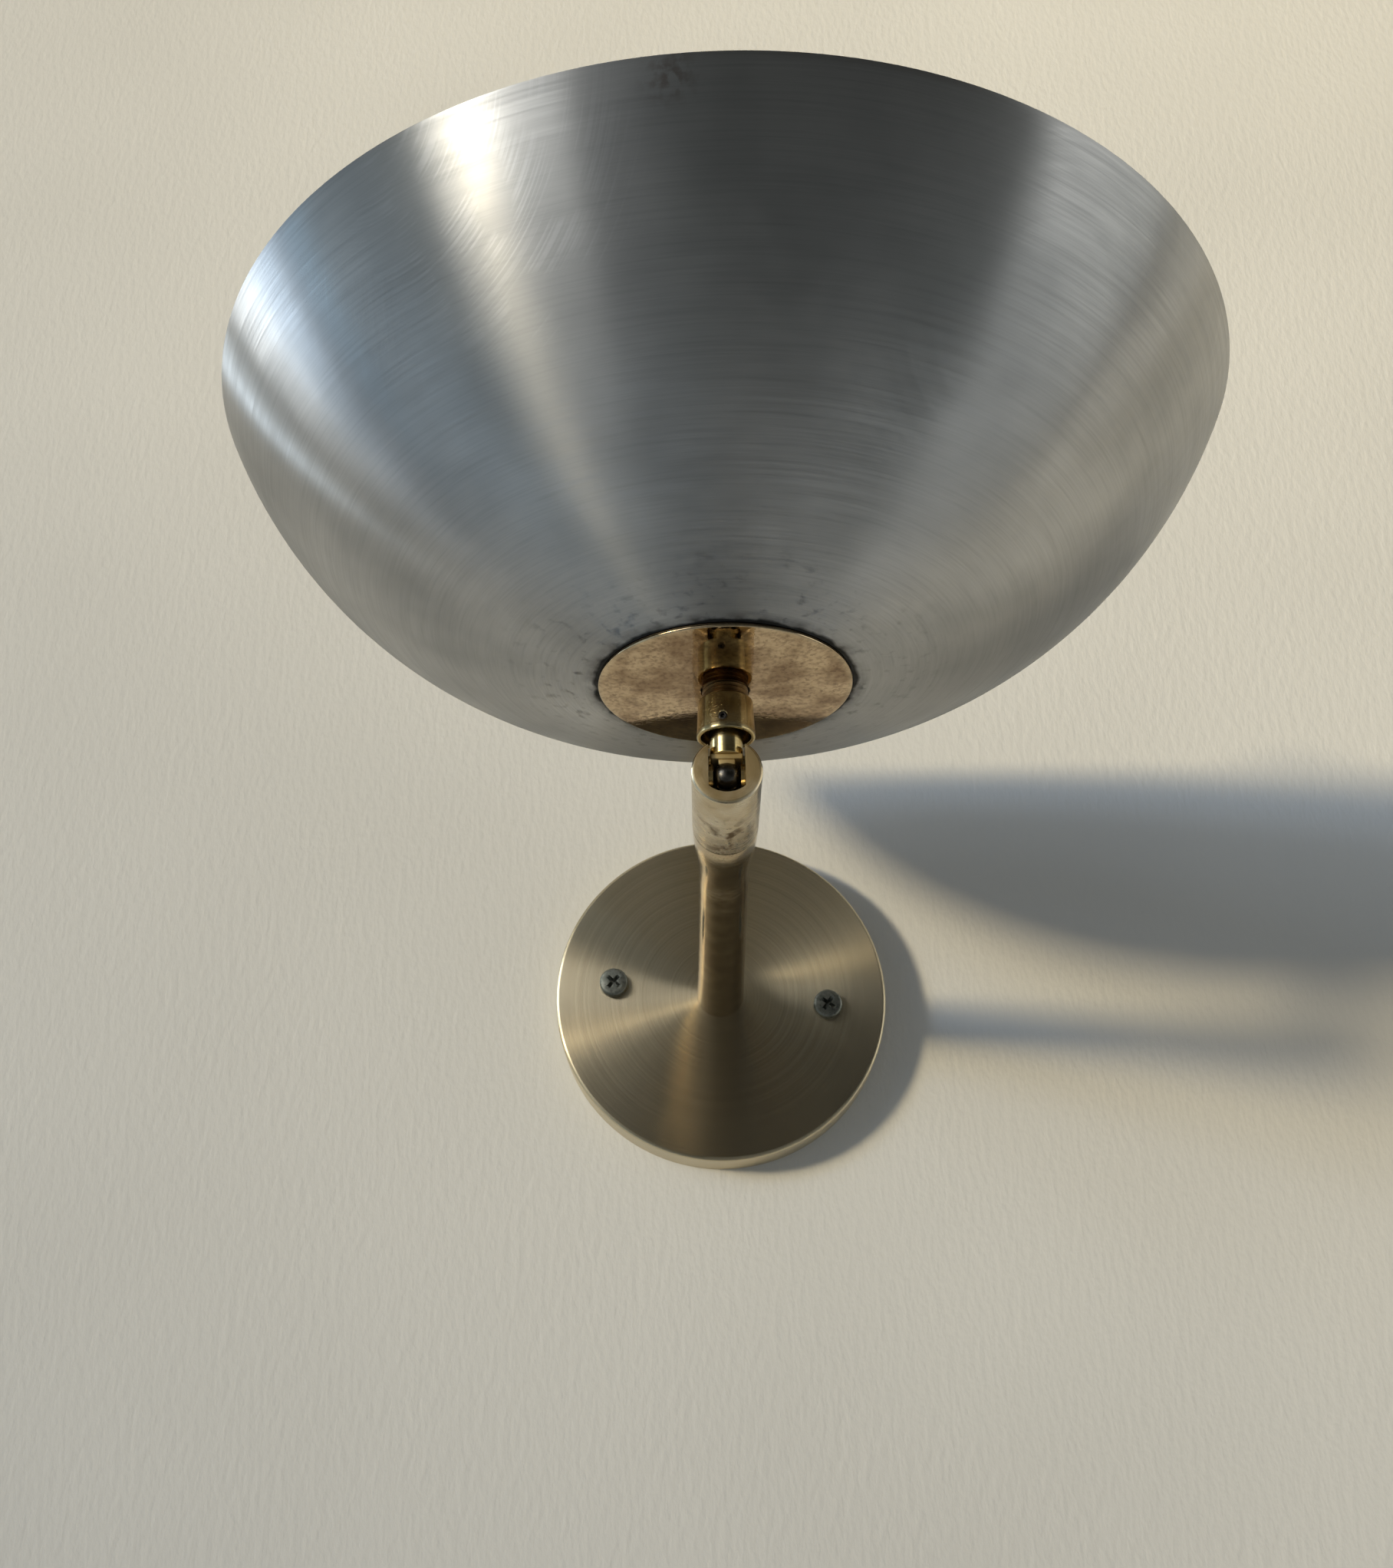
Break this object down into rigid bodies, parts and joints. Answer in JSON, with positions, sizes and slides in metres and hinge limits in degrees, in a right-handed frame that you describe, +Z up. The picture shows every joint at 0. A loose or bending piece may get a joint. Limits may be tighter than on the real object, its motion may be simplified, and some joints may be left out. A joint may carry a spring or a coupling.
{
  "type": "adjustable wall light",
  "caption": "Uplight with an open round bowl on a tilting, swivelling knuckle at the end of a straight arm, carried by a round wall plate.",
  "frame": {"origin": "middle of the wall plate, on the wall", "axes": "-Y runs out from the wall along the arm, +Z up, +X to the right as seen from the room"},
  "size_m": [0.225, 0.3198, 0.1424],
  "materials": {
    "brushed_brass": "concentric brushed, light bronze tarnish",
    "polished_brass": "polished with spotted tarnish",
    "brushed_aluminium": "spun and brushed round its axis",
    "zinc_steel": "zinc plated",
    "black_steel": "blackened and worn bright",
    "nickel_shell": "nickel plated, rolled",
    "white_nylon": "moulded",
    "black_phenolic": "moulded phenolic",
    "white_ceramic": "glazed ceramic",
    "black_glass": "vitreous seal",
    "opal_glass": "opal"
  },
  "bodies": {
    "wall_base": {"wall_plate": "brushed_brass", "wall_screws": "zinc_steel", "backing_bar": "zinc_steel", "arm": "polished_brass", "arm_washer": "zinc_steel", "arm_nut": "polished_brass", "earth_screw": "polished_brass", "earth_washer": "polished_brass", "terminal_block": "white_nylon", "terminal_sleeves": "polished_brass", "terminal_screws": "zinc_steel", "block_screw": "zinc_steel", "swivel_screw": "zinc_steel", "swivel_washer": "zinc_steel"},
    "knuckle": {"knuckle": "polished_brass", "pivot_pin": "zinc_steel", "pivot_washers": "black_steel"},
    "shade": {"pivot_ball": "black_steel", "stem": "polished_brass", "cup": "polished_brass", "grub_screw": "zinc_steel", "nipple": "polished_brass", "shade_disc": "polished_brass", "bowl": "brushed_aluminium", "bowl_washer": "zinc_steel", "nipple_nut": "polished_brass", "holder_cap": "black_phenolic", "holder_core": "white_ceramic", "holder_sleeve": "black_phenolic", "centre_contact": "polished_brass", "side_contact": "polished_brass", "holder_screws": "zinc_steel", "lamp_cap": "nickel_shell", "lamp_insulator": "black_glass", "lamp_globe": "opal_glass"}
  },
  "joints": [
    {"name": "knuckle_swivel", "type": "hinge", "parent": "wall_base", "child": "knuckle", "pos_m": [0, -0.149, 0], "axis": [0, 1, 0], "range_deg": [-170, 170]},
    {"name": "shade_tilt", "type": "hinge", "parent": "knuckle", "child": "shade", "pos_m": [0, -0.1753, 0], "axis": [1, 0, 0], "range_deg": [0, 90]}
  ]
}
